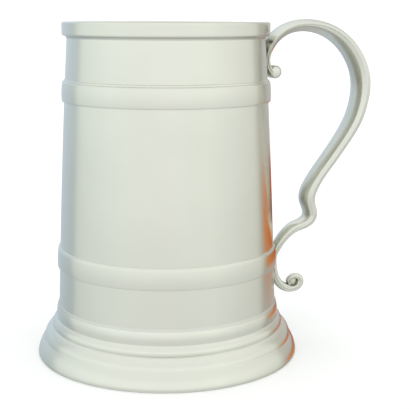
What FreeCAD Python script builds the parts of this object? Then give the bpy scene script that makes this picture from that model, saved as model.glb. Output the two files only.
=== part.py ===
# Pewter tankard: a tapering drum with an applied lip and two hoops, a stepped hollow foot,
# a plain floor and a cast broken-scroll handle, all soft-soldered together.
#
# Frame: millimetres, +Z up along the drum's axis, origin on the table at the centre of the foot,
# handle towards +X.  The pieces never move on each other.
import FreeCAD, Part
import math
import os
import Sketcher

from FreeCAD import Vector

# ---------------------------------------------------------------------------------------------
# Driving dimensions, all in millimetres.
# ---------------------------------------------------------------------------------------------
DIMENSIONS = [
    # drum: its outside is one very large arc, bellied a little outwards between foot and lip
    ("full_height", 135.4, "from the table to the drinking edge"),
    ("belly_arc_radius", 3800.0, "radius of the arc that the drum's outside follows"),
    ("belly_arc_reach", 3752.83, "how far beyond the axis that arc's centre lies"),
    ("belly_arc_depth", 109.72, "how far below the table that arc's centre lies"),
    ("wall", 1.5, "thickness of the drum's wall"),
    ("drum_bottom", 18.5, "height of the drum's lower edge, inside the foot"),
    # lip
    ("lip_reach", 41.55, "outer radius of the lip"),
    ("lip_bottom", 130.0, "height of the lip's underside"),
    ("lip_under_round", 1.6, "quarter round under the lip"),
    ("lip_top_round", 0.7, "rounding of the lip's outer top edge"),
    ("drinking_round", 0.5, "rounding of the drum's inner top edge"),
    # upper hoop
    ("upper_bottom", 104.2, "height of the upper hoop's lower edge"),
    ("upper_shoulder", 111.4, "height where its shoulder starts"),
    ("upper_step", 112.25, "height of the small step above the shoulder"),
    ("upper_step_face", 0.2, "height of the small step's upright face"),
    ("upper_top", 113.05, "height of its upper edge"),
    ("upper_reach_low", 42.1, "outer radius at its lower edge"),
    ("upper_reach_high", 41.85, "outer radius at its shoulder"),
    ("upper_step_reach", 41.15, "outer radius of the small step"),
    # lower hoop
    ("lower_bottom", 36.9, "height of the lower hoop's lower edge"),
    ("lower_shoulder", 44.2, "height where its shoulder starts"),
    ("lower_top", 45.4, "height of its upper edge"),
    ("lower_reach_low", 45.2, "outer radius at its lower edge"),
    ("lower_reach_high", 44.85, "outer radius at its shoulder"),
    ("lower_shoulder_round", 1.5, "radius of its soft shoulder"),
    ("hoop_edge_round", 0.4, "rounding of both hoops' lower edges"),
    ("hoop_face_round", 40.0, "radius of both hoops' gently bulged faces"),
    # foot: three rounded mouldings, each starting where the last one ends, and a base moulding
    ("foot_top_reach", 45.5, "outer radius of the foot's thin upper edge, round the drum"),
    ("foot_top", 20.9, "height there"),
    ("first_crease_reach", 45.95, "outer radius at the bottom of the first moulding"),
    ("first_crease", 15.9, "height there"),
    ("first_round", 12.0, "radius of the first moulding's face"),
    ("second_crease_reach", 47.85, "outer radius at the bottom of the second moulding"),
    ("second_crease", 12.2, "height there"),
    ("second_round", 4.0, "radius of the second moulding's face"),
    ("third_crease_reach", 51.35, "outer radius at the bottom of the third moulding"),
    ("third_crease", 7.25, "height there"),
    ("third_round", 6.5, "radius of the third moulding's face"),
    ("base_face_round", 14.0, "radius of the base moulding's face"),
    ("base_reach", 54.0, "outer radius of the foot at the table"),
    ("base_band", 1.3, "height up to which the base moulding stands straight"),
    ("base_round", 0.8, "rounding of its lower edge"),
    ("standing_width", 3.2, "width of the flat ring that the tankard stands on"),
    ("skirt", 1.9, "thickness of the hollow skirt, measured level"),
    ("ledge_reach", 40.6, "inner radius of the ledge that carries drum and floor"),
    ("ledge", 1.8, "thickness of that ledge"),
    # floor
    ("floor_thickness", 1.9, "thickness of the floor disc"),
    # solder
    ("floor_bead", 1.2, "size of the solder bead round the floor, inside"),
    ("floor_bead_round", 1.32, "radius of that bead's hollow face"),
    ("seam", 0.3, "thickness of the solder between the drum and the lip, and drum and foot"),
    ("foot_bead", 1.0, "height of the solder bead above the foot's upper edge"),
    ("foot_bead_reach", 45.42, "outer radius of that bead"),
    ("foot_bead_round", 2.0, "radius of its hollow face"),
    ("lip_bead", 1.0, "size of the solder bead under the lip"),
    ("lip_bead_round", 1.25, "radius of its hollow face"),
    ("lip_seam_height", 2.0, "how far the solder runs up behind the lip"),
    # handle
    ("crown_share", 0.117, "how far the strap's back is crowned, as a share of its width"),
    ("knob_radius", 2.7, "radius of the rolled knob at the handle's upper end"),
    ("knob_width", 8.0, "width of that knob"),
    ("knob_reach", 45.9, "distance of the knob's centre from the axis"),
    ("knob_height", 115.05, "height of the knob's centre"),
    ("eye_radius", 1.8, "radius of the sunk eye that the lower scroll rolls round"),
    ("eye_width", 1.0, "width of that eye"),
    ("eye_reach", 56.9, "distance of the eye's centre from the axis"),
    ("eye_height", 24.0, "height of the eye's centre"),
    # solder between handle and vessel
    ("pad_depth", 2.6, "how far a solder pad reaches out of the vessel's wall"),
    ("upper_pad_start", 39.0, "distance from the axis where the upper pad starts"),
    ("upper_pad_width", 7.0, "width of the upper solder pad"),
    ("upper_pad_bottom", 117.9, "height of its lower edge"),
    ("upper_pad_top", 124.2, "height of its upper edge"),
    ("lower_pad_start", 44.0, "distance from the axis where the lower pad starts"),
    ("lower_pad_width", 5.0, "width of the lower solder pad"),
    ("lower_pad_bottom", 36.5, "height of its lower edge"),
    ("lower_pad_top", 41.0, "height of its upper edge"),
]

# The strap's inner edge line from the knob over the loop, down to the kink and into the lower
# scroll: distance from the axis, height, thickness of the back behind that line, bulge of the
# finger side before it, and width of the casting at each point.
HANDLE_ROUTE = [
    (45.4, 115.3, 2.6, 2.2, 8.0),
    (44.1, 116.6, 2.5, 1.0, 8.6),
    (43.05, 118.5, 2.5, 1.1, 9.4),
    (42.7, 121.0, 2.45, 1.4, 10.2),
    (43.3, 124.4, 2.3, 2.0, 11.0),
    (48.8, 131.4, 2.1, 2.6, 12.2),
    (64.2, 133.5, 2.85, 2.6, 13.0),
    (74.3, 128.9, 3.7, 2.8, 13.0),
    (83.75, 114.6, 4.8, 2.4, 13.0),
    (84.5, 108.8, 4.95, 2.0, 13.0),
    (84.05, 102.9, 4.65, 1.9, 13.0),
    (82.3, 96.4, 4.5, 1.9, 12.9),
    (75.4, 84.4, 4.15, 1.8, 11.9),
    (71.4, 78.9, 4.1, 1.8, 11.6),
    (64.05, 68.9, 4.15, 1.7, 11.2),
    (61.15, 60.2, 4.2, 2.1, 10.5),
    (61.9, 56.4, 4.2, 1.4, 10.1),
    (62.4, 53.2, 4.0, 1.4, 9.7),
    (60.2, 50.95, 3.6, 1.2, 9.2),
    (56.8, 49.3, 3.1, 1.6, 8.5),
    (50.05, 43.7, 2.75, 1.3, 7.5),
    (47.6, 40.1, 2.7, 0.9, 6.9),
    (46.15, 36.6, 2.6, 0.7, 6.2),
    (46.0, 33.0, 2.6, 0.7, 5.6),
    (49.9, 22.5, 2.8, 0.7, 4.7),
    (53.0, 20.5, 2.9, 0.7, 4.6),
    (56.2, 19.95, 2.4, 0.6, 4.5),
    (59.1, 20.8, 2.4, 0.6, 4.4),
    (60.8, 23.0, 2.8, 0.6, 4.3),
    (60.5, 25.4, 2.5, 0.6, 4.2),
    (58.5, 26.8, 1.9, 0.6, 4.1),
    (56.1, 26.7, 1.5, 0.6, 4.0),
    (54.5, 25.4, 1.25, 0.6, 3.9),
    (54.15, 24.0, 1.1, 0.6, 3.8),
    (54.5, 23.3, 1.0, 0.55, 3.7),
]

ROUTE_COLUMNS = ("reach", "height", "back", "belly", "width")


# ---------------------------------------------------------------------------------------------
# The document and its sheet.
# ---------------------------------------------------------------------------------------------
doc = FreeCAD.newDocument("Tankard")
sizes = doc.addObject("Spreadsheet::Sheet", "Sizes")


def fill_sheet():
    """Write every driving dimension, and the handle's route, as a named cell."""
    row = 1
    for alias, number, meaning in DIMENSIONS:
        sizes.set("A%d" % row, alias)
        sizes.set("B%d" % row, str(number))
        sizes.setAlias("B%d" % row, alias)
        sizes.set("C%d" % row, meaning)
        row += 1
    for index, point in enumerate(HANDLE_ROUTE):
        sizes.set("A%d" % row, "route_%02d" % index)
        for cell, name, number in zip("BCDEF", ROUTE_COLUMNS, point):
            sizes.set("%s%d" % (cell, row), str(number))
            sizes.setAlias("%s%d" % (cell, row), "route_%s_%02d" % (name, index))
        row += 1
    doc.recompute()


fill_sheet()


def size(alias):
    """A driving dimension as a number."""
    return float(sizes.get(alias))


def worked_out(expression):
    """The value of an expression over the sheet."""
    return float(sizes.evalExpression(expression))


def outside(height):
    """Expression for the drum's outer radius at a height."""
    rise = "(%s + Sizes.belly_arc_depth)" % height
    return "sqrt(Sizes.belly_arc_radius^2 - %s^2) - Sizes.belly_arc_reach" % rise


def inside(height):
    """Expression for the drum's inner radius at a height."""
    return "(%s - Sizes.wall)" % outside(height)


# ---------------------------------------------------------------------------------------------
# Turned pieces: a closed half-section, bound to the sheet, revolved about the axis.
# ---------------------------------------------------------------------------------------------
def origin_plane(body, role):
    """One of a body's own origin planes."""
    for feature in body.Origin.OriginFeatures:
        if feature.Role == role:
            return feature
    raise RuntimeError("no plane " + role)


def arc_between(start, end, radius, bulge):
    """Arc of a circle from start to end.  bulge +1 keeps its middle left of the way, -1 right."""
    chord = end.sub(start)
    half = chord.Length / 2.0
    left = Vector(-chord.y, chord.x, 0).normalize()
    to_centre = math.sqrt(max(radius * radius - half * half, 0.0))
    middle = start.add(chord.multiply(0.5))
    centre = middle.sub(left.multiply(bulge * to_centre))
    from_angle = math.atan2(start.y - centre.y, start.x - centre.x)
    to_angle = math.atan2(end.y - centre.y, end.x - centre.x)
    circle = Part.Circle(centre, Vector(0, 0, 1), radius)
    if bulge > 0:
        return Part.ArcOfCircle(circle, to_angle, from_angle)
    return Part.ArcOfCircle(circle, from_angle, to_angle)


def half_section(body, name, corners):
    """Sketch a closed outline in the body's XZ plane.

    Each corner is (radius, height) or (radius, height, arc radius, bulge), as expressions over
    the sheet; the last two describe the edge from that corner to the next one.
    """
    sketch = body.newObject("Sketcher::SketchObject", name)
    sketch.AttachmentSupport = [(origin_plane(body, "XZ_Plane"), "")]
    sketch.MapMode = "FlatFace"
    points = [Vector(worked_out(corner[0]), worked_out(corner[1]), 0) for corner in corners]
    edges = []
    for index, corner in enumerate(corners):
        start = points[index]
        end = points[(index + 1) % len(points)]
        if len(corner) == 2:
            edges.append((sketch.addGeometry(Part.LineSegment(start, end)), 1, 2))
            continue
        radius = worked_out(corner[2])
        arc = sketch.addGeometry(arc_between(start, end, radius, corner[3]))
        first, last = (2, 1) if corner[3] > 0 else (1, 2)
        edges.append((arc, first, last))
        bind(sketch, "Radius", (arc,), radius, corner[2])
    for index, corner in enumerate(corners):
        edge, first, _ = edges[index]
        before, _, last = edges[index - 1]
        sketch.addConstraint(Sketcher.Constraint("Coincident", before, last, edge, first))
        bind(sketch, "DistanceX", (-1, 1, edge, first), points[index].x, corner[0])
        bind(sketch, "DistanceY", (-1, 1, edge, first), points[index].y, corner[1])
    return sketch


def bind(sketch, kind, places, number, expression):
    """Add a dimension to a sketch and drive it from the sheet."""
    added = sketch.addConstraint(Sketcher.Constraint(kind, *places, number))
    sketch.setExpression("Constraints[%d]" % added, expression)


def turned(label, corners):
    """A body revolved from a half-section."""
    body = doc.addObject("PartDesign::Body", label)
    body.Label = label
    sketch = half_section(body, label + "_section", corners)
    revolution = body.newObject("PartDesign::Revolution", label + "_turned")
    revolution.Profile = sketch
    revolution.ReferenceAxis = (sketch, ["V_Axis"])
    revolution.Angle = 360.0
    sketch.Visibility = False
    return body


def make_drum():
    """Tapering wall, open at both ends, with a softened drinking edge."""
    low = "Sizes.drum_bottom"
    high = "Sizes.full_height"
    start_round = "(Sizes.full_height - Sizes.drinking_round)"
    inner_arc = "(Sizes.belly_arc_radius - Sizes.wall)"
    return turned("drum", [
        (outside(low), low, "Sizes.belly_arc_radius", -1),
        (outside(high), high),
        (inside(high) + " + Sizes.drinking_round", high, "Sizes.drinking_round", -1),
        (inside(start_round), start_round, inner_arc, +1),
        (inside(low), low),
    ])


def make_lip():
    """Moulding round the drinking edge: quarter round below, flat face, rounded top."""
    low = "Sizes.lip_bottom"
    high = "Sizes.full_height"
    under = "Sizes.lip_under_round"
    seam_top = "(Sizes.lip_bottom + Sizes.lip_seam_height)"
    return turned("lip_ring", [
        (outside(low) + " + Sizes.seam", low),
        ("Sizes.lip_reach - " + under, low, under, -1),
        ("Sizes.lip_reach", low + " + " + under),
        ("Sizes.lip_reach", high + " - Sizes.lip_top_round", "Sizes.lip_top_round", -1),
        ("Sizes.lip_reach - Sizes.lip_top_round", high),
        (outside(high), high),
        (outside(seam_top), seam_top),
        (outside(seam_top) + " + Sizes.seam", seam_top),
    ])


def make_upper_hoop():
    """Upper hoop: crisp lower edge, bulged face, rounded shoulder and a fine step above."""
    low = "Sizes.upper_bottom"
    edge = "Sizes.hoop_edge_round"
    shoulder_round = "(Sizes.upper_step - Sizes.upper_shoulder)"
    return turned("upper_band", [
        (outside(low), low),
        ("Sizes.upper_reach_low - " + edge, low, edge, -1),
        ("Sizes.upper_reach_low", low + " + " + edge, "Sizes.hoop_face_round", -1),
        ("Sizes.upper_reach_high", "Sizes.upper_shoulder", shoulder_round, -1),
        ("Sizes.upper_step_reach", "Sizes.upper_step"),
        ("Sizes.upper_step_reach", "Sizes.upper_step + Sizes.upper_step_face", shoulder_round, -1),
        (outside("Sizes.upper_top"), "Sizes.upper_top"),
    ])


def make_lower_hoop():
    """Lower hoop: crisp lower edge, bulged face and a soft shoulder."""
    low = "Sizes.lower_bottom"
    edge = "Sizes.hoop_edge_round"
    return turned("lower_band", [
        (outside(low), low),
        ("Sizes.lower_reach_low - " + edge, low, edge, -1),
        ("Sizes.lower_reach_low", low + " + " + edge, "Sizes.hoop_face_round", -1),
        ("Sizes.lower_reach_high", "Sizes.lower_shoulder", "Sizes.lower_shoulder_round", -1),
        (outside("Sizes.lower_top"), "Sizes.lower_top"),
    ])


def make_foot():
    """Hollow stepped foot: rounded mouldings outside, a skirt inside, and a ledge for the drum."""
    ledge_under = "(Sizes.drum_bottom - Sizes.ledge)"
    return turned("foot", [
        # up the inside, over the ledge and up the bore that holds the drum
        ("Sizes.base_reach - Sizes.base_round - Sizes.standing_width", "0"),
        ("Sizes.third_crease_reach - Sizes.skirt", "Sizes.third_crease"),
        ("Sizes.second_crease_reach - Sizes.skirt", "Sizes.second_crease"),
        ("Sizes.ledge_reach + Sizes.ledge", ledge_under),
        ("Sizes.ledge_reach", ledge_under),
        ("Sizes.ledge_reach", "Sizes.drum_bottom"),
        (outside("Sizes.drum_bottom") + " + Sizes.seam", "Sizes.drum_bottom"),
        (outside("Sizes.foot_top") + " + Sizes.seam", "Sizes.foot_top"),
        # down the mouldings
        ("Sizes.foot_top_reach", "Sizes.foot_top", "Sizes.first_round", +1),
        ("Sizes.first_crease_reach", "Sizes.first_crease", "Sizes.second_round", +1),
        ("Sizes.second_crease_reach", "Sizes.second_crease", "Sizes.third_round", +1),
        ("Sizes.third_crease_reach", "Sizes.third_crease", "Sizes.base_face_round", +1),
        ("Sizes.base_reach", "Sizes.base_band"),
        ("Sizes.base_reach", "Sizes.base_round", "Sizes.base_round", +1),
        ("Sizes.base_reach - Sizes.base_round", "0"),
    ])


def make_floor():
    """Flat disc inside the drum, standing on the foot's ledge."""
    low = "Sizes.drum_bottom"
    high = "(Sizes.drum_bottom + Sizes.floor_thickness)"
    return turned("floor_disc", [
        ("0", low),
        (inside(low), low),
        (inside(high), high),
        ("0", high),
    ])


def make_floor_solder():
    """Hollow bead in the corner between floor and wall."""
    low = "(Sizes.drum_bottom + Sizes.floor_thickness)"
    high = "(Sizes.drum_bottom + Sizes.floor_thickness + Sizes.floor_bead)"
    return turned("solder_floor", [
        (inside(low) + " - Sizes.floor_bead", low),
        (inside(low), low),
        (inside(high), high, "Sizes.floor_bead_round", +1),
    ])


def make_lip_solder():
    """Solder run up behind the lip, ending in a hollow bead under it."""
    middle = "Sizes.lip_bottom"
    low = "(Sizes.lip_bottom - Sizes.lip_bead)"
    high = "(Sizes.lip_bottom + Sizes.lip_seam_height)"
    return turned("solder_lip", [
        (outside(low), low, "Sizes.lip_bead_round", +1),
        (outside(middle) + " + Sizes.lip_bead", middle),
        (outside(middle) + " + Sizes.seam", middle),
        (outside(high) + " + Sizes.seam", high),
        (outside(high), high),
    ])


def make_foot_solder():
    """Solder between drum and foot, ending in a hollow bead over the foot's upper edge."""
    low = "Sizes.drum_bottom"
    middle = "Sizes.foot_top"
    high = "(Sizes.foot_top + Sizes.foot_bead)"
    return turned("solder_foot", [
        (outside(low), low),
        (outside(low) + " + Sizes.seam", low),
        (outside(middle) + " + Sizes.seam", middle),
        ("Sizes.foot_bead_reach", middle, "Sizes.foot_bead_round", +1),
        (outside(high), high),
    ])


# ---------------------------------------------------------------------------------------------
# Handle: one casting, lofted through cross-sections set along the strap's inner edge line.
# ---------------------------------------------------------------------------------------------
def route_values(name):
    """One column of the handle's route, read back from the sheet."""
    return [size("route_%s_%02d" % (name, index)) for index in range(len(HANDLE_ROUTE))]


def strap_section(line, outward, back, belly, width):
    """Wire across the strap: bulged finger side, upright edges and a crowned back."""
    crown = width * size("crown_share")
    near = Vector(0, -width / 2.0, 0)
    far = Vector(0, width / 2.0, 0)
    edge = line.add(outward * (back - crown))
    return Part.Wire([
        Part.Arc(line.add(near), line.sub(outward * belly), line.add(far)).toShape(),
        Part.LineSegment(line.add(far), edge.add(far)).toShape(),
        Part.Arc(edge.add(far), line.add(outward * back), edge.add(near)).toShape(),
        Part.LineSegment(edge.add(near), line.add(near)).toShape(),
    ])


def strap_along_route():
    """Loft of the strap from the knob to the end of the lower scroll."""
    stations = list(zip(*[route_values(name) for name in ROUTE_COLUMNS]))
    curve = Part.BSplineCurve()
    curve.interpolate([Vector(reach, 0, height) for reach, height, _, _, _ in stations])
    sections = []
    for reach, height, back, belly, width in stations:
        point = Vector(reach, 0, height)
        along = curve.tangent(curve.parameter(point))[0]
        outward = Vector(-along.z, 0, along.x)
        sections.append(strap_section(point, outward, back, belly, width))
    return Part.makeLoft(sections, True, False)


def make_strap():
    """The strap on its own, before the knob and the eye are joined to it."""
    strap = doc.addObject("Part::Feature", "strap")
    strap.Shape = strap_along_route()
    strap.Placement = FreeCAD.Placement()
    return strap


def roller(place):
    """Short cylinder lying across the strap, for the knob or the eye."""
    cylinder = doc.addObject("Part::Cylinder", place)
    cylinder.Placement.Rotation = FreeCAD.Rotation(Vector(1, 0, 0), -90)
    cylinder.setExpression("Radius", "Sizes.%s_radius" % place)
    cylinder.setExpression("Height", "Sizes.%s_width" % place)
    cylinder.setExpression("Placement.Base.x", "Sizes.%s_reach" % place)
    cylinder.setExpression("Placement.Base.y", "-Sizes.%s_width / 2" % place)
    cylinder.setExpression("Placement.Base.z", "Sizes.%s_height" % place)
    return cylinder


def make_handle():
    """Handle casting: strap, rolled knob and scroll eye in one piece."""
    casting = doc.addObject("Part::MultiFuse", "handle")
    casting.Label = "handle"
    casting.Shapes = [make_strap(), roller("knob"), roller("eye")]
    casting.Refine = True
    return casting


def solder_pad(label, place, neighbours):
    """Solder between strap and vessel: a small block less every piece that it touches."""
    pad = doc.addObject("Part::Box", label + "_block")
    pad.setExpression("Length", "Sizes.pad_depth")
    pad.setExpression("Width", "Sizes.%s_pad_width" % place)
    pad.setExpression("Height", "Sizes.%s_pad_top - Sizes.%s_pad_bottom" % (place, place))
    pad.setExpression("Placement.Base.x", "Sizes.%s_pad_start" % place)
    pad.setExpression("Placement.Base.y", "-Sizes.%s_pad_width / 2" % place)
    pad.setExpression("Placement.Base.z", "Sizes.%s_pad_bottom" % place)
    for neighbour in neighbours:
        cut = doc.addObject("Part::Cut", "%s_less_%s" % (label, neighbour.Label))
        cut.Base = pad
        cut.Tool = neighbour
        pad = cut
    pad.Label = label
    return pad


# ---------------------------------------------------------------------------------------------
# Build, check and write.
# ---------------------------------------------------------------------------------------------
drum = make_drum()
lower_hoop = make_lower_hoop()
handle = make_handle()
pieces = [
    drum,
    make_lip(),
    make_upper_hoop(),
    lower_hoop,
    make_foot(),
    make_floor(),
    make_floor_solder(),
    make_lip_solder(),
    make_foot_solder(),
    handle,
    solder_pad("solder_handle_upper", "upper", [drum, handle]),
    solder_pad("solder_handle_lower", "lower", [drum, lower_hoop, handle]),
]
doc.recompute()

for item in doc.Objects:
    if "Invalid" in item.State or "Error" in item.State:
        raise RuntimeError("%s is %s" % (item.Label, item.State))
os.makedirs("parts", exist_ok=True)
for piece in pieces:
    if piece.Shape.isNull() or not piece.Shape.isValid() or len(piece.Shape.Solids) != 1:
        raise RuntimeError(piece.Label + " is not one valid solid")
    print("%-22s %9.1f mm3, box %s" % (piece.Label, piece.Shape.Volume, piece.Shape.BoundBox))
    piece.Shape.exportStep("parts/%s.step" % piece.Label)
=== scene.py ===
"""Pewter pint tankard: turned vessel, stepped foot, cast broken-scroll handle, solder joints."""

import math

import bmesh
import bpy
import numpy as np
from mathutils import Matrix, Vector, noise


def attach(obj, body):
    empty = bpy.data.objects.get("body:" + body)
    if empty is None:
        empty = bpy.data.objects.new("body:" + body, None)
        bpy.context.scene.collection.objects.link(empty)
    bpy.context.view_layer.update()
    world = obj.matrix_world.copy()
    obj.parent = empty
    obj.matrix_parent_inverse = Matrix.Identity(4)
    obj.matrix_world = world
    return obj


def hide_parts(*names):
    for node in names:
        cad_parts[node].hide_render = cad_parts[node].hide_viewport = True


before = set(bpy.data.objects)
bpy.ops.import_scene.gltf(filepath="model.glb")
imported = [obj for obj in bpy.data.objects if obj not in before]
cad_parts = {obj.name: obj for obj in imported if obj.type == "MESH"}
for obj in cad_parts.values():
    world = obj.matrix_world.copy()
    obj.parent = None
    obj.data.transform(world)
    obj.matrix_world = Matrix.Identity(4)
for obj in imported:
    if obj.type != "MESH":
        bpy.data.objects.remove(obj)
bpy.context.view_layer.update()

# The tankard's sizes are in millimetres until they become a mesh.  The mesh, the materials, the
# floor and the camera are in metres.
MM = 0.001
SEGMENTS = 288
SHARP_ANGLE = math.radians(32)
ON_AXIS = 1e-6
MERGE_DISTANCE = 1e-7
# A round takes up at most this share of the edges beside it.  The extra point beside a round is
# this many times as far from the corner as the round's own end.
ROUND_LIMIT = 0.45
BESIDE_ROUND = 1.15

# Drum and floor.  The drum's outside is one very large arc, bellied slightly outwards.  Its long
# wall ends at WALL_TOP, and its rounded rim begins a little above that.
FULL_HEIGHT = 135.4
BELLY_RADIUS = 3800.0
BELLY_REACH = 3752.83
BELLY_DEPTH = 109.72
WALL = 1.5
WALL_TOP = 133.0
RIM_START = 133.5
OUTER_RIM_ROUND = 0.06
INNER_RIM_ROUND = 0.6
DRUM_BOTTOM = 18.5
FLOOR_TOP = 20.4
FLOOR_RINGS = (42, 36, 30, 24, 18, 12, 6, 2, 0)
FLOOR_BEAD = 1.2
FLOOR_BEAD_ROUND = 1.32
# Width of the gap, full of solder, between the drum and the ring round it.
SEAM = 0.3

# Lip moulding.
LIP_BOTTOM = 130.0
LIP_REACH = 41.55
LIP_LOWER_ROUND = 1.6
LIP_UPPER_ROUND = 0.7
LIP_INNER_ROUND = 0.05
LIP_SEAM_TOP = 132.0
LIP_BEAD = 1.0
LIP_BEAD_ROUND = 1.25

# Hoops.  Shoulders and steps are (radius, height).
HOOP_EDGE_ROUND = 0.4
HOOP_FACE_ROUND = 40.0
UPPER_HOOP_BOTTOM = 104.2
UPPER_HOOP_REACH = 42.1
UPPER_HOOP_SHOULDER = (41.85, 111.4)
UPPER_HOOP_STEP = (41.15, 112.25)
UPPER_HOOP_STEP_TOP = (41.15, 112.45)
UPPER_HOOP_TOP = 113.05
UPPER_HOOP_ROUND = 0.85
LOWER_HOOP_BOTTOM = 36.9
LOWER_HOOP_REACH = 45.2
LOWER_HOOP_SHOULDER = (44.85, 44.2)
LOWER_HOOP_TOP = 45.4
LOWER_HOOP_ROUND = 1.5

# Foot.  Four swellings, each with a radius and a number of steps, meet in three creases.  The
# hollow runs from the standing edge up to the ledge under the floor, as (radius, height, round).
FOOT_TOP = 20.9
FOOT_TOP_REACH = 45.5
FOOT_CREASES = [(45.95, 15.9), (47.85, 12.2), (51.35, 7.25)]
FOOT_SWELLINGS = [(12.0, 20), (4.0, 20), (6.5, 24), (14.0, 20)]
BASE_REACH = 54.0
BASE_EDGE_TOP = 1.3
BASE_ROUND = 0.8
BASE_ROUND_EDGE = 2.0
FOOT_HOLLOW = [
    (52.9, 0.0, 0),
    (50.0, 0.0, 0.3),
    (49.45, 7.25, 2.0),
    (45.95, 12.2, 2.0),
    (42.4, 16.7, 1.0),
    (40.6, 16.7, 0.3),
    (40.6, DRUM_BOTTOM, 0.1),
]
FOOT_BEAD = 1.0
FOOT_BEAD_REACH = 45.42
FOOT_BEAD_ROUND = 2.0


def outside(height):
    """Outer radius of the drum at a height."""
    return math.sqrt(BELLY_RADIUS ** 2 - (height + BELLY_DEPTH) ** 2) - BELLY_REACH


def inside(height):
    """Inner radius of the drum at a height."""
    return outside(height) - WALL


# ---------------------------------------------------------------------------------------------
# Outlines, as lists of (radius, height).
# ---------------------------------------------------------------------------------------------
def arc_points(centre, start, end, steps):
    """Points on the circle about centre, the short way from start to end."""
    a, b = start - centre, end - centre
    angle = a.angle(b)
    points = []
    for step in range(steps + 1):
        t = step / steps
        arm = a * math.sin((1 - t) * angle) + b * math.sin(t * angle)
        points.append(tuple(centre + arm / math.sin(angle)))
    return points


def bow(start, end, radius, steps=14):
    """Arc from start to end whose middle lies left of the way."""
    start, end = Vector(start), Vector(end)
    chord = end - start
    half = chord.length / 2
    left = Vector((-chord.y, chord.x)).normalized()
    centre = (start + end) / 2 - left * math.sqrt(radius ** 2 - half ** 2)
    return arc_points(centre, start, end, steps)


def softened(corners, steps=6):
    """Open outline whose (x, y, radius) corners are rounded, with a point beside each round."""
    points = []
    for index, (x, y, radius) in enumerate(corners):
        here = Vector((x, y))
        if radius <= 0 or index in (0, len(corners) - 1):
            points.append((x, y))
            continue
        before = Vector(corners[index - 1][:2]) - here
        after = Vector(corners[index + 1][:2]) - here
        half_angle = before.angle(after) / 2
        limit = ROUND_LIMIT * min(before.length, after.length)
        reach = min(radius / math.tan(half_angle), limit)
        before.normalize()
        after.normalize()
        bisector = (before + after).normalized()
        centre = here + bisector * reach / math.cos(half_angle)
        points.append(tuple(here + before * reach * BESIDE_ROUND))
        points += arc_points(centre, here + before * reach, here + after * reach, steps)
        points.append(tuple(here + after * reach * BESIDE_ROUND))
    return points


def wall(bottom, top, radius_at, steps=40):
    """Points along a wall whose radius is a function of height."""
    heights = [bottom + (top - bottom) * step / steps for step in range(steps + 1)]
    return [(radius_at(height), height) for height in heights]


# ---------------------------------------------------------------------------------------------
# Mesh makers.
# ---------------------------------------------------------------------------------------------
def linked(name, data):
    """Object in the scene, made from a bmesh."""
    bmesh.ops.recalc_face_normals(data, faces=data.faces)
    mesh = bpy.data.meshes.new(name)
    data.to_mesh(mesh)
    data.free()
    made = bpy.data.objects.new(name, mesh)
    bpy.context.scene.collection.objects.link(made)
    return made


def finished(name, data, nodes):
    """Object made from a bmesh, riding on the body and standing for its CAD nodes."""
    piece = linked(name, data)
    piece.data.shade_smooth()
    piece.data.set_sharp_from_angle(angle=SHARP_ANGLE)
    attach(piece, "root")
    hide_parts(*nodes)
    return piece


def bridge(data, ring, other):
    """Faces between two rings of corners, triangles where one ring is a single point."""
    for step in range(len(ring)):
        after = (step + 1) % len(ring)
        corners = [ring[step], ring[after], other[after], other[step]]
        unique = [c for n, c in enumerate(corners) if c not in corners[:n]]
        if len(unique) > 2:
            data.faces.new(unique)


def lathe(name, outline, nodes):
    """Turned solid from a closed outline in millimetres."""
    data = bmesh.new()
    rings = []
    for radius, height in outline:
        if radius < ON_AXIS:
            pole = data.verts.new((0, 0, height * MM))
            rings.append([pole] * SEGMENTS)
            continue
        ring = []
        for step in range(SEGMENTS):
            angle = 2 * math.pi * step / SEGMENTS
            ring.append(data.verts.new((
                radius * MM * math.cos(angle), radius * MM * math.sin(angle), height * MM)))
        rings.append(ring)
    for ring, other in zip(rings, rings[1:] + rings[:1]):
        bridge(data, ring, other)
    bmesh.ops.remove_doubles(data, verts=data.verts, dist=MERGE_DISTANCE)
    return finished(name, data, nodes)


# ---------------------------------------------------------------------------------------------
# Turned pieces.
# ---------------------------------------------------------------------------------------------
drum = lathe(
    "drum_wall",
    wall(DRUM_BOTTOM, WALL_TOP, outside)
    + softened([
        (outside(RIM_START), RIM_START, 0),
        (outside(FULL_HEIGHT), FULL_HEIGHT, OUTER_RIM_ROUND),
        (inside(FULL_HEIGHT), FULL_HEIGHT, INNER_RIM_ROUND),
        (inside(RIM_START), RIM_START, 0),
    ])
    + wall(WALL_TOP, DRUM_BOTTOM, inside),
    ["drum"])

lip = lathe(
    "lip_moulding",
    softened([
        (outside(LIP_BOTTOM) + SEAM, LIP_BOTTOM, 0),
        (LIP_REACH, LIP_BOTTOM, LIP_LOWER_ROUND),
        (LIP_REACH, FULL_HEIGHT, LIP_UPPER_ROUND),
        (outside(FULL_HEIGHT), FULL_HEIGHT, LIP_INNER_ROUND),
        (outside(LIP_SEAM_TOP), LIP_SEAM_TOP, 0),
        (outside(LIP_SEAM_TOP) + SEAM, LIP_SEAM_TOP, 0),
    ], steps=10),
    ["lip_ring"])


def hoop_front(bottom, reach, shoulder):
    """A hoop's lower edge and gently bulged face, from underneath up to its shoulder."""
    edge = HOOP_EDGE_ROUND
    turn = bow((reach, bottom + edge), (reach - edge, bottom), edge, 6)[::-1]
    face = bow(shoulder, (reach, bottom + edge), HOOP_FACE_ROUND, 12)[::-1]
    return [(outside(bottom), bottom)] + turn + face[1:]


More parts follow.
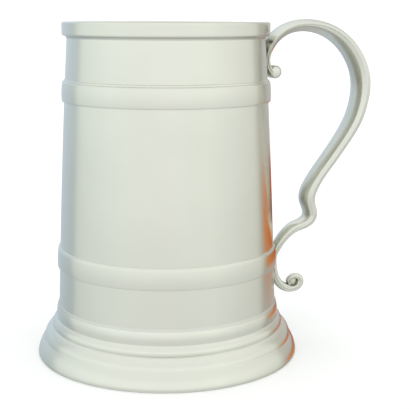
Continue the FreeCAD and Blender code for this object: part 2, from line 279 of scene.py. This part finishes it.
upper_hoop = lathe(
    "upper_hoop",
    hoop_front(UPPER_HOOP_BOTTOM, UPPER_HOOP_REACH, UPPER_HOOP_SHOULDER)
    + bow(UPPER_HOOP_STEP, UPPER_HOOP_SHOULDER, UPPER_HOOP_ROUND, 8)[::-1][1:]
    + bow((outside(UPPER_HOOP_TOP), UPPER_HOOP_TOP), UPPER_HOOP_STEP_TOP,
          UPPER_HOOP_ROUND, 6)[::-1],
    ["upper_band"])

lower_hoop = lathe(
    "lower_hoop",
    hoop_front(LOWER_HOOP_BOTTOM, LOWER_HOOP_REACH, LOWER_HOOP_SHOULDER)
    + bow((outside(LOWER_HOOP_TOP), LOWER_HOOP_TOP), LOWER_HOOP_SHOULDER,
          LOWER_HOOP_ROUND, 8)[::-1][1:],
    ["lower_band"])

foot_outline = softened(FOOT_HOLLOW + [
    (outside(DRUM_BOTTOM) + SEAM, DRUM_BOTTOM, 0.05),
    (outside(FOOT_TOP) + SEAM, FOOT_TOP, 0.03),
    (FOOT_TOP_REACH, FOOT_TOP, 0),
])
swelling_ends = [(FOOT_TOP_REACH, FOOT_TOP)] + FOOT_CREASES + [(BASE_REACH, BASE_EDGE_TOP)]
for start, end, (radius, steps) in zip(swelling_ends, swelling_ends[1:], FOOT_SWELLINGS):
    foot_outline += bow(start, end, radius, steps)[1:]
foot_outline += softened([
    (BASE_REACH, BASE_ROUND_EDGE, 0),
    (BASE_REACH, 0.0, BASE_ROUND),
    (BASE_REACH - BASE_ROUND_EDGE, 0.0, 0),
])[1:-1]
foot = lathe("stepped_foot", foot_outline, ["foot"])

floor_outline = [(0.0, DRUM_BOTTOM), (20.0, DRUM_BOTTOM), (inside(DRUM_BOTTOM), DRUM_BOTTOM)]
floor_outline += [(inside(FLOOR_TOP), FLOOR_TOP)]
floor_outline += [(radius, FLOOR_TOP) for radius in FLOOR_RINGS]
floor_plate = lathe("floor_plate", floor_outline, ["floor_disc"])

floor_solder = lathe(
    "floor_solder",
    [(inside(FLOOR_TOP), FLOOR_TOP)]
    + bow((inside(FLOOR_TOP + FLOOR_BEAD), FLOOR_TOP + FLOOR_BEAD),
          (inside(FLOOR_TOP) - FLOOR_BEAD, FLOOR_TOP), FLOOR_BEAD_ROUND),
    ["solder_floor"])

lip_solder = lathe(
    "lip_solder",
    bow((outside(LIP_BOTTOM - LIP_BEAD), LIP_BOTTOM - LIP_BEAD),
        (outside(LIP_BOTTOM) + LIP_BEAD, LIP_BOTTOM), LIP_BEAD_ROUND, 10)
    + [(outside(LIP_BOTTOM) + SEAM, LIP_BOTTOM), (outside(LIP_SEAM_TOP) + SEAM, LIP_SEAM_TOP)]
    + [(outside(LIP_SEAM_TOP), LIP_SEAM_TOP)],
    ["solder_lip"])

foot_solder = lathe(
    "foot_solder",
    [(outside(DRUM_BOTTOM), DRUM_BOTTOM), (outside(DRUM_BOTTOM) + SEAM, DRUM_BOTTOM)]
    + [(outside(FOOT_TOP) + SEAM, FOOT_TOP)]
    + bow((outside(FOOT_TOP + FOOT_BEAD), FOOT_TOP + FOOT_BEAD),
          (FOOT_BEAD_REACH, FOOT_TOP), FOOT_BEAD_ROUND, 10)[::-1],
    ["solder_foot"])

# ---------------------------------------------------------------------------------------------
# Handle: one casting, swept along the strap's inner edge line.  Each point gives distance from
# the axis, height, thickness of the back, bulge of the finger side, and width.
# ---------------------------------------------------------------------------------------------
HANDLE_ROUTE = [
    (45.4, 115.3, 2.6, 2.2, 8.0),
    (44.1, 116.6, 2.5, 1.0, 8.6),
    (43.05, 118.5, 2.5, 1.1, 9.4),
    (42.7, 121.0, 2.45, 1.4, 10.2),
    (43.3, 124.4, 2.3, 2.0, 11.0),
    (48.8, 131.4, 2.1, 2.6, 12.2),
    (64.2, 133.5, 2.85, 2.6, 13.0),
    (74.3, 128.9, 3.7, 2.8, 13.0),
    (83.75, 114.6, 4.8, 2.4, 13.0),
    (84.5, 108.8, 4.95, 2.0, 13.0),
    (84.05, 102.9, 4.65, 1.9, 13.0),
    (82.3, 96.4, 4.5, 1.9, 12.9),
    (75.4, 84.4, 4.15, 1.8, 11.9),
    (71.4, 78.9, 4.1, 1.8, 11.6),
    (64.05, 68.9, 4.15, 1.7, 11.2),
    (61.15, 60.2, 4.2, 2.1, 10.5),
    (61.9, 56.4, 4.2, 1.4, 10.1),
    (62.4, 53.2, 4.0, 1.4, 9.7),
    (60.2, 50.95, 3.6, 1.2, 9.2),
    (56.8, 49.3, 3.1, 1.6, 8.5),
    (50.05, 43.7, 2.75, 1.3, 7.5),
    (47.6, 40.1, 2.7, 0.9, 6.9),
    (46.15, 36.6, 2.6, 0.7, 6.2),
    (46.0, 33.0, 2.6, 0.7, 5.6),
    (49.9, 22.5, 2.8, 0.7, 4.7),
    (53.0, 20.5, 2.9, 0.7, 4.6),
    (56.2, 19.95, 2.4, 0.6, 4.5),
    (59.1, 20.8, 2.4, 0.6, 4.4),
    (60.8, 23.0, 2.8, 0.6, 4.3),
    (60.5, 25.4, 2.5, 0.6, 4.2),
    (58.5, 26.8, 1.9, 0.6, 4.1),
    (56.1, 26.7, 1.5, 0.6, 4.0),
    (54.5, 25.4, 1.25, 0.6, 3.9),
    (54.15, 24.0, 1.1, 0.6, 3.8),
    (54.5, 23.3, 1.0, 0.55, 3.7),
]
CROWN_SHARE = 0.117
STATIONS = 420
# An arris is rounded by ARRIS_ROUND, or by ARRIS_SHARE of the strap's side where that is less.  The
# points of the two faces stop ARRIS_CLEAR rounds short of the edge.
ARRIS_ROUND = 0.6
ARRIS_SHARE = 0.36
ARRIS_CLEAR = 1.3
SIDE_BULGE = 0.4
FACE_STEPS = 7
SIDE_STEPS = 8
CORNER_STEPS = 9
# Rolls across the strap: distance from the axis, height, radius, width and rounding of the rims.
KNOB = (45.9, 115.05, 2.7, 8.0, 1.9)
EYE = (56.9, 24.0, 1.8, 1.0, 0.1)
# Height of a roll's domed ends, as a share of its radius.
ROLL_DOME = 0.16
ROLL_SEGMENTS = 64


def smooth_columns(points, count):
    """Values and slopes of a natural cubic spline through rows of numbers, evenly spaced."""
    rows = np.array(points)
    run = np.hypot(np.diff(rows[:, 0]), np.diff(rows[:, 1]))
    along = np.concatenate([[0], np.cumsum(run)])
    size = len(rows)
    system = np.zeros((size, size))
    system[0, 0] = system[-1, -1] = 1
    right = np.zeros((size, rows.shape[1]))
    for i in range(1, size - 1):
        system[i, i - 1:i + 2] = run[i - 1], 2 * (run[i - 1] + run[i]), run[i]
        right[i] = 6 * ((rows[i + 1] - rows[i]) / run[i] - (rows[i] - rows[i - 1]) / run[i - 1])
    bend = np.linalg.solve(system, right)
    places = np.linspace(0, along[-1], count)
    index = np.clip(np.searchsorted(along, places) - 1, 0, size - 2)
    step = run[index][:, None]
    b = (places - along[index])[:, None] / step
    a = 1 - b
    values = a * rows[index] + b * rows[index + 1]
    values += ((a ** 3 - a) * bend[index] + (b ** 3 - b) * bend[index + 1]) * step ** 2 / 6
    slopes = (rows[index + 1] - rows[index]) / step
    slopes += ((3 * b ** 2 - 1) * bend[index + 1] - (3 * a ** 2 - 1) * bend[index]) * step / 6
    return values, slopes


FLIPPED = Vector((1, -1))


def strap_outline(back, belly, width):
    """Section across the strap as (outward, across) points: bulged face, edges, crown."""
    half = width / 2 - SIDE_BULGE
    crown = width * CROWN_SHARE
    upright = back - crown
    reach = min(ARRIS_ROUND, upright * ARRIS_SHARE)

    def face(across):
        return Vector((-belly * (1 - (across / half) ** 2), across))

    def top(across):
        return Vector((upright + crown * (1 - (across / half) ** 2), across))

    def side(share):
        out = reach + (upright - 2 * reach) * share
        return Vector((out, half + SIDE_BULGE * (1 - (2 * share - 1) ** 2)))

    def rounded_corner(start, corner, end):
        steps = [step / CORNER_STEPS for step in range(CORNER_STEPS + 1)]
        return [(1 - t) ** 2 * start + 2 * t * (1 - t) * corner + t * t * end for t in steps]

    flat = half - ARRIS_CLEAR * reach
    places = [flat * step / FACE_STEPS for step in range(-FACE_STEPS, FACE_STEPS + 1)]
    shares = [step / SIDE_STEPS for step in range(1, SIDE_STEPS)]
    ring = [face(place) for place in places]
    ring += rounded_corner(face(half - reach), Vector((0, half)), Vector((reach, half)))
    ring += [side(share) for share in shares]
    ring += rounded_corner(
        Vector((upright - reach, half)), Vector((upright, half)), top(half - reach))
    ring += [top(-place) for place in places]
    ring += rounded_corner(top(reach - half), Vector((upright, -half)),
                           Vector((upright - reach, -half)))
    ring += [side(share) * FLIPPED for share in shares[::-1]]
    ring += rounded_corner(Vector((reach, -half)), Vector((0, -half)), face(reach - half))
    return ring


def sweep_strap(data):
    """Loft the strap's rings into a bmesh, closed at both ends."""
    values, slopes = smooth_columns(HANDLE_ROUTE, STATIONS)
    rings = []
    for (reach, height, back, belly, width), slope in zip(values, slopes):
        length = math.hypot(slope[0], slope[1])
        outward = (-slope[1] / length, slope[0] / length)
        ring = []
        for out, across in strap_outline(back, belly, width):
            ring.append(data.verts.new((
                (reach + outward[0] * out) * MM, across * MM, (height + outward[1] * out) * MM)))
        rings.append(ring)
    for ring, other in zip(rings, rings[1:]):
        bridge(data, ring, other)
    data.faces.new(rings[0])
    data.faces.new(rings[-1][::-1])


def roll(data, reach, height, radius, width, edge):
    """Barrel lying across the strap, with rounded rims and domed ends."""
    bulge = ROLL_DOME * radius
    half = width / 2 - bulge
    outline = softened([
        (0, half, 0), (radius, half, edge), (radius, -half, edge), (0, -half, 0)])
    rings = []
    for r, across in outline:
        dome = bulge * (1 - min(r / radius, 1) ** 2)
        y = (across + math.copysign(dome, across)) * MM
        if r < ON_AXIS:
            rings.append([data.verts.new((reach * MM, y, height * MM))] * ROLL_SEGMENTS)
            continue
        angles = [2 * math.pi * step / ROLL_SEGMENTS for step in range(ROLL_SEGMENTS)]
        rings.append([
            data.verts.new((
                (reach + r * math.cos(angle)) * MM, y, (height + r * math.sin(angle)) * MM))
            for angle in angles])
    for ring, other in zip(rings, rings[1:]):
        bridge(data, ring, other)


def mesh_object(name, fill):
    """Plain object whose mesh comes from a filling function."""
    data = bmesh.new()
    fill(data)
    return linked(name, data)


def united(name, first, others, nodes):
    """One closed mesh from several overlapping ones."""
    for other in others:
        modifier = first.modifiers.new("union", "BOOLEAN")
        modifier.operation = "UNION"
        modifier.solver = "EXACT"
        modifier.object = other
    evaluated = first.evaluated_get(bpy.context.evaluated_depsgraph_get())
    data = bmesh.new()
    data.from_mesh(evaluated.to_mesh())
    for spent in [first] + others:
        bpy.data.objects.remove(spent, do_unlink=True)
    return finished(name, data, nodes)


strap = mesh_object("strap", sweep_strap)
knob = mesh_object("knob", lambda data: roll(data, *KNOB))
eye = mesh_object("eye", lambda data: roll(data, *EYE))
handle = united("handle_casting", strap, [knob, eye], ["handle"])


# ---------------------------------------------------------------------------------------------
# Solder wiped round the handle's two joints.  The rear of a patch lies sunk in the vessel.
# ---------------------------------------------------------------------------------------------
PATCH_RINGS = 14
PATCH_SEGMENTS = 72
PATCH_WANDER = 0.07
PATCH_SUNK = 0.3
PATCH_FULLNESS = 0.7


def solder_patch(name, radius_at, centre, half_height, half_width, thickness, nodes):
    """Lens of solder lying on the vessel, thickest at its middle and a little uneven."""
    data = bmesh.new()
    surface = radius_at(centre)
    tip = data.verts.new(((surface + thickness) * MM, 0, centre * MM))
    back_tip = data.verts.new(((surface - PATCH_SUNK) * MM, 0, centre * MM))
    front = [[tip] * PATCH_SEGMENTS]
    rear = [[back_tip] * PATCH_SEGMENTS]
    for ring in range(1, PATCH_RINGS + 1):
        share = ring / PATCH_RINGS
        row, back_row = [], []
        for step in range(PATCH_SEGMENTS):
            angle = 2 * math.pi * step / PATCH_SEGMENTS
            place = Vector((math.cos(angle), math.sin(angle), centre))
            wander = 1 + PATCH_WANDER * noise.noise(place)
            y = half_width * share * wander * math.cos(angle)
            z = centre + half_height * share * wander * math.sin(angle)
            surface = math.sqrt(radius_at(z) ** 2 - y ** 2)
            swell = thickness * (1 - share ** 2) ** PATCH_FULLNESS
            row.append(data.verts.new(((surface + swell) * MM, y * MM, z * MM)))
            if ring < PATCH_RINGS:
                back_row.append(data.verts.new(((surface - PATCH_SUNK) * MM, y * MM, z * MM)))
        front.append(row)
        rear.append(back_row or row)
    for stack in (front, rear):
        for ring, other in zip(stack, stack[1:]):
            bridge(data, ring, other)
    return finished(name, data, nodes)


upper_solder = solder_patch(
    "upper_handle_solder", outside, centre=120.8, half_height=5.0, half_width=5.0,
    thickness=1.5, nodes=["solder_handle_upper"])
lower_solder = solder_patch(
    "lower_handle_solder", lambda height: LOWER_HOOP_REACH, centre=39.5, half_height=2.5,
    half_width=2.9, thickness=1.2, nodes=["solder_handle_lower"])


# ---------------------------------------------------------------------------------------------
# Pewter, as node materials.
# ---------------------------------------------------------------------------------------------
def nodes_for(owner):
    """Short ways to feed sockets and add nodes, in a material or the world."""
    tree = owner.node_tree

    def feed(socket, value):
        if isinstance(value, bpy.types.NodeSocket):
            tree.links.new(value, socket)
        else:
            socket.default_value = value

    def add(kind, **inputs):
        node = tree.nodes.new(kind)
        for key, value in inputs.items():
            name = key.replace("_", " ")
            if name in node.inputs:
                feed(node.inputs[name], value)
            else:
                setattr(node, key, value)
        return node

    def work_out(kind, operation, *values):
        node = add(kind, operation=operation)
        for socket, value in zip(node.inputs, values):
            feed(socket, value)
        return node

    return feed, add, work_out


# The darker end of the drift, as a share of the colour, and the roughness that full dulling adds.
DRIFT_SHADE = 0.955
DULLED_ROUGHNESS = 0.35


def pewter(name, colour, dark, depth, roughness, rings, waviness, grain, metallic=1.0, dulled=0.0):
    """Metal with colour drift, painted shade in the creases, turning marks and soft dents."""
    material = bpy.data.materials.new(name)
    material.use_nodes = True
    feed, add, work_out = nodes_for(material)
    shader = material.node_tree.nodes["Principled BSDF"]
    coordinates = add("ShaderNodeTexCoord")
    where = coordinates.outputs["Object"]

    # slow drift of colour over the surface, in patches of a few centimetres
    patches = add("ShaderNodeTexNoise", Vector=where, Scale=28.0, Detail=5.0, Roughness=0.6)
    drift = add("ShaderNodeMapRange", Value=patches.outputs["Fac"], From_Min=0.3, From_Max=0.7)
    shaded = [part * DRIFT_SHADE for part in colour]
    tint = add("ShaderNodeMix", data_type="RGBA", Factor=drift.outputs["Result"],
               A=(*shaded, 1), B=(*colour, 1))

    # painted shade: the colour darkens in creases, under edges and where parts meet, wherever
    # ambient occlusion finds them
    crease = add("ShaderNodeAmbientOcclusion", samples=24, Distance=depth)
    painted_crease_shade = add("ShaderNodeMapRange", Value=crease.outputs["AO"], From_Min=0.35, From_Max=0.85)
    base = add("ShaderNodeMix", data_type="RGBA", Factor=painted_crease_shade.outputs["Result"],
               A=(*dark, 1), B=tint.outputs["Result"])
    feed(shader.inputs["Base Color"], base.outputs["Result"])

    # scuffs, which only change the gloss
    scuffs = add("ShaderNodeTexNoise", Vector=where, Scale=90.0, Detail=4.0, Roughness=0.6)
    dull = add("ShaderNodeMapRange", Value=scuffs.outputs["Fac"], From_Min=0.3, From_Max=0.7,
               To_Min=roughness - 0.02, To_Max=roughness + 0.03)

    # the inside has been dulled by drink: less mirror, more matt
    level = work_out("ShaderNodeVectorMath", "MULTIPLY", where, (1, 1, 0))
    radial = work_out("ShaderNodeVectorMath", "NORMALIZE", level.outputs["Vector"])
    facing_out = work_out("ShaderNodeVectorMath", "DOT_PRODUCT",
                          radial.outputs["Vector"], coordinates.outputs["Normal"])
    inner = add("ShaderNodeMapRange", Value=facing_out.outputs["Value"],
                From_Min=-0.3, From_Max=-0.7, To_Max=dulled)
    rougher = work_out("ShaderNodeMath", "MULTIPLY_ADD",
                       inner.outputs["Result"], DULLED_ROUGHNESS, dull.outputs["Result"])
    feed(shader.inputs["Roughness"], rougher.outputs["Value"])
    mirror = work_out("ShaderNodeMath", "SUBTRACT", metallic, inner.outputs["Result"])
    feed(shader.inputs["Metallic"], mirror.outputs["Value"])

    # soft dents first, then the turning marks on top of them: noise stretched round the axis, so
    # that it runs in fine level rings
    dents = add("ShaderNodeTexNoise", Vector=where, Scale=22.0, Detail=1.0, Roughness=0.4)
    stretch = add("ShaderNodeMapping", Vector=where, Scale=rings)
    marks = add("ShaderNodeTexNoise", Vector=stretch.outputs["Vector"], Scale=1.0, Detail=2.0,
                Roughness=0.5)
    bump_dents = add("ShaderNodeBump", Strength=1.0, Distance=waviness,
                     Height=dents.outputs["Fac"])
    bump_marks = add("ShaderNodeBump", Strength=1.0, Distance=grain,
                     Height=marks.outputs["Fac"], Normal=bump_dents.outputs["Normal"])
    feed(shader.inputs["Normal"], bump_marks.outputs["Normal"])
    return material


# Each metal's dark colour is its painted shade in creases and where parts meet. The handle's and
# the joint solder's are darkest, for the shadow between the handle and the drum.
turned_pewter = pewter(
    "turned_pewter", (0.680, 0.693, 0.618), dark=(0.63, 0.64, 0.565), depth=0.0022,
    roughness=0.22, rings=(9.0, 9.0, 900.0), waviness=0.00006, grain=0.0000012, dulled=0.6)
dulled_pewter = pewter(
    "dulled_pewter", (0.66, 0.67, 0.61), dark=(0.50, 0.50, 0.42), depth=0.0022,
    roughness=0.45, rings=(60.0, 60.0, 60.0), waviness=0.00006, grain=0.000002, metallic=0.4)
cast_pewter = pewter(
    "cast_pewter", (0.675, 0.685, 0.622), dark=(0.30, 0.30, 0.18), depth=0.0035,
    roughness=0.27, rings=(150.0, 150.0, 150.0), waviness=0.00004, grain=0.0000005)
solder_metal = pewter(
    "soft_solder", (0.64, 0.645, 0.59), dark=(0.52, 0.52, 0.46), depth=0.0022,
    roughness=0.36, rings=(420.0, 420.0, 420.0), waviness=0.00004, grain=0.000008)
joint_solder = pewter(
    "joint_solder", (0.56, 0.56, 0.47), dark=(0.20, 0.20, 0.11), depth=0.004,
    roughness=0.42, rings=(420.0, 420.0, 420.0), waviness=0.00004, grain=0.000008)

MADE_OF = [
    (turned_pewter, (drum, lip, upper_hoop, lower_hoop, foot)),
    (dulled_pewter, (floor_plate,)),
    (cast_pewter, (handle,)),
    (solder_metal, (floor_solder, lip_solder, foot_solder)),
    (joint_solder, (upper_solder, lower_solder)),
]
for metal, pieces in MADE_OF:
    for piece in pieces:
        piece.data.materials.append(metal)


# ---------------------------------------------------------------------------------------------
# Studio: pale floor and soft surroundings, with one warm patch low down behind on the right.
# ---------------------------------------------------------------------------------------------
PAPER = {
    "Base Color": (0.94, 0.94, 0.94, 1),
    "Roughness": 0.9,
    "Specular IOR Level": 0.1,
    "Emission Color": (1, 1, 1, 1),
    "Emission Strength": 0.1,
}
FLOOR_HALF = 6.0
FLOOR_CORNERS = [(-1, -1), (1, -1), (1, 1), (-1, 1)]

paper = bpy.data.materials.new("pale_paper")
paper.use_nodes = True
for name, value in PAPER.items():
    paper.node_tree.nodes["Principled BSDF"].inputs[name].default_value = value
floor_mesh = bpy.data.meshes.new("pale_floor")
floor_mesh.from_pydata(
    [(x * FLOOR_HALF, y * FLOOR_HALF, 0) for x, y in FLOOR_CORNERS], [], [(0, 1, 2, 3)])
floor_mesh.materials.append(paper)
floor = bpy.data.objects.new("pale_floor", floor_mesh)
bpy.context.scene.collection.objects.link(floor)
# the metal mirrors the surroundings' lower half instead, which stands for the table there
floor.visible_glossy = False

# The camera stands this far round the tankard, and the room is turned with it.
AROUND = math.radians(-15.0)

# What the studio's walls look like on the way round, from behind on the left, past the camera
# at 0, to behind on the right: (degrees to the camera's right, red, green, blue).
WALLS = [
    (-180, 0.60, 0.68, 0.76),
    (-145, 0.60, 0.69, 0.79),
    (-118, 0.58, 0.63, 0.67),
    (-110, 0.83, 0.87, 0.87),
    (-89, 0.90, 0.94, 0.94),
    (-60, 0.97, 1.00, 1.00),
    (0, 1.00, 1.00, 1.00),
    (48, 0.98, 1.01, 0.99),
    (66, 0.94, 0.95, 0.94),
    (86, 0.88, 0.89, 0.87),
    (114, 0.80, 0.81, 0.77),
    (121, 0.53, 0.51, 0.47),
    (154, 0.55, 0.52, 0.52),
    (180, 0.60, 0.62, 0.66),
]
# Brightness by height of the direction: (sine of the elevation, brightness).
CEILING = [
    (-1.0, 0.80), (-0.5, 0.78), (-0.34, 0.78), (-0.22, 0.84), (-0.12, 0.91), (0.0, 0.98),
    (0.10, 1.03), (0.22, 1.05), (0.5, 0.96), (0.8, 0.98), (1.0, 1.0)]
STUDIO_STRENGTH = 1.21
# Along the sine of the elevation, from 0 for straight down to 1 for straight up: how much of the
# even colour takes the walls' place there, since high up and far down all sides look alike.
EVEN_COLOUR = (0.97, 0.98, 0.97, 1)
EVEN = [(0.0, (0.45, 0.45, 0.45)), (0.33, (0, 0, 0)), (0.66, (0, 0, 0)), (0.86, (0.9, 0.9, 0.9))]
# The warm patch stands for something wooden.  It lies below the horizon, where only the metal
# mirrors it.  SPAN bounds it and WOOD colours it along the way round, which goes from 0 to 1, and
# RISE bounds it along the sine of the elevation, as above.
SPAN = [(0.838, (0, 0, 0)), (0.852, (1, 1, 1)), (0.97, (1, 1, 1)), (0.99, (0, 0, 0))]
RISE = [(0.378, (0, 0, 0)), (0.390, (1, 1, 1)), (0.430, (1, 1, 1)), (0.442, (0, 0, 0))]
WOOD = [(0.87, (0.66, 0.19, 0.0)), (0.92, (0.48, 0.09, 0.0)), (0.96, (0.20, 0.02, 0.01))]

world = bpy.data.worlds.new("studio")
bpy.context.scene.world = world
world.use_nodes = True
feed, add, work_out = nodes_for(world)


def ramp(stops, source):
    """Colour ramp over positions from 0 to 1."""
    node = add("ShaderNodeValToRGB", Fac=source)
    while len(node.color_ramp.elements) < len(stops):
        node.color_ramp.elements.new(0.5)
    for element, (place, colour) in zip(node.color_ramp.elements, stops):
        element.position = place
        element.color = (*colour, 1)
    return node.outputs["Color"]


def mixed(factor, first, second, blend="MIX"):
    """Mix of two colours, where the factor is the second one's share."""
    node = add("ShaderNodeMix", data_type="RGBA", blend_type=blend, Factor=factor,
               A=first, B=second)
    return node.outputs["Result"]


# the direction looked in, as a way round and a height, both from 0 to 1
direction = add("ShaderNodeTexCoord").outputs["Generated"]
facing = add("ShaderNodeMapping", Vector=direction, Rotation=(0, 0, -AROUND))
split = add("ShaderNodeSeparateXYZ", Vector=facing.outputs["Vector"])
towards = work_out("ShaderNodeMath", "MULTIPLY", split.outputs["Y"], -1.0)
bearing = work_out("ShaderNodeMath", "ARCTAN2", split.outputs["X"], towards.outputs["Value"])
around = add("ShaderNodeMapRange", Value=bearing.outputs["Value"],
             From_Min=-math.pi, From_Max=math.pi).outputs["Result"]
upward = add("ShaderNodeMapRange", Value=split.outputs["Z"],
             From_Min=-1.0, From_Max=1.0).outputs["Result"]

walls = ramp([((deg + 180) / 360, rgb) for deg, *rgb in WALLS], around)
ceiling = ramp([((sine + 1) / 2, (b, b, b)) for sine, b in CEILING], upward)
evened = mixed(ramp(EVEN, upward), walls, EVEN_COLOUR)
room = mixed(1.0, evened, ceiling, "MULTIPLY")
wooden = mixed(1.0, ramp(SPAN, around), ramp(RISE, upward), "MULTIPLY")
warmed = mixed(wooden, room, ramp(WOOD, around))
# the camera sees plain white behind the tankard, and the tankard and the floor see the room
seen = add("ShaderNodeLightPath")
sky = mixed(seen.outputs["Is Camera Ray"], warmed, (1.0, 1.0, 1.0, 1))
background = world.node_tree.nodes["Background"]
feed(background.inputs["Color"], sky)
feed(background.inputs["Strength"], STUDIO_STRENGTH)


# ---------------------------------------------------------------------------------------------
# Camera: close and slightly above the lip, with the handle 15 degrees behind the right.
# ---------------------------------------------------------------------------------------------
CAMERA_DISTANCE = 0.3974
CAMERA_HEIGHT = 0.1383
YAW, TILT, ROLL = math.radians(2.231), math.radians(-10.99), math.radians(-0.186)
LENS = 86.12
SENSOR_WIDTH = 36.0
NEAREST = 0.01
camera_data = bpy.data.cameras.new("camera")
camera_data.lens = LENS
camera_data.sensor_width = SENSOR_WIDTH
camera_data.clip_start = NEAREST
camera = bpy.data.objects.new("camera", camera_data)
bpy.context.scene.collection.objects.link(camera)
turn = Matrix.Rotation(AROUND, 4, "Z") @ Matrix.Rotation(-YAW, 4, "Z")
turn = turn @ Matrix.Rotation(TILT, 4, "X") @ Matrix.Rotation(ROLL, 4, "Y")
turn = turn @ Matrix.Rotation(math.radians(90), 4, "X")
spot = Matrix.Rotation(AROUND, 4, "Z") @ Vector((0, -CAMERA_DISTANCE, CAMERA_HEIGHT))
camera.matrix_world = Matrix.Translation(spot) @ turn
bpy.context.scene.camera = camera

settings = bpy.context.scene.view_settings
settings.view_transform = "Standard"
settings.look = "None"
